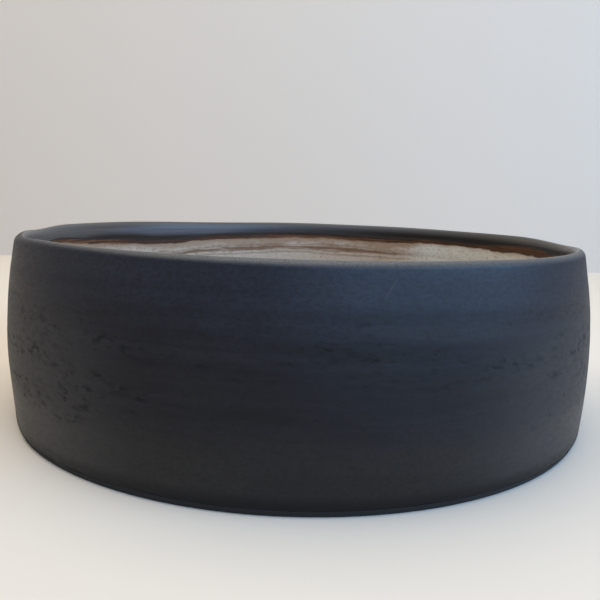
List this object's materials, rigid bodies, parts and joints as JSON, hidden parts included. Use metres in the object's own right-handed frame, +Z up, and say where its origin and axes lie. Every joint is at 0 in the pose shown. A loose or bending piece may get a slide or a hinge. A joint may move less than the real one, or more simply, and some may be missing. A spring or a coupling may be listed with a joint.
{
  "type": "ikebana suiban",
  "caption": "Low round stoneware flower basin with a bowed black wall, pale glazed inside and a needle holder that stands loose on its floor to hold cut stems in water.",
  "frame": {"origin": "on the table, under the middle of the bowl's foot", "axes": "+Z up along the bowl's turning axis; -Y towards the viewer of the picture, +X to the viewer's right"},
  "size_m": [0.26, 0.26, 0.076],
  "materials": {
    "bare_clay": "matte",
    "black_coat": "satin",
    "liner_glaze": "satin",
    "cast_lead": "matte",
    "needle_brass": "satin",
    "black_rubber": "matte"
  },
  "bodies": {
    "bowl": {"stoneware_body": "bare_clay", "black_outer_coat": "black_coat", "pale_liner_glaze": "liner_glaze"},
    "kenzan": {"kenzan_lead_disc": "cast_lead", "kenzan_needles": "needle_brass", "kenzan_rubber_ring": "black_rubber"}
  },
  "joints": [
    {"name": "kenzan_lift", "type": "slide", "parent": "bowl", "child": "kenzan", "axis": [0, 0, 1], "range_m": [0, 0.09]}
  ]
}
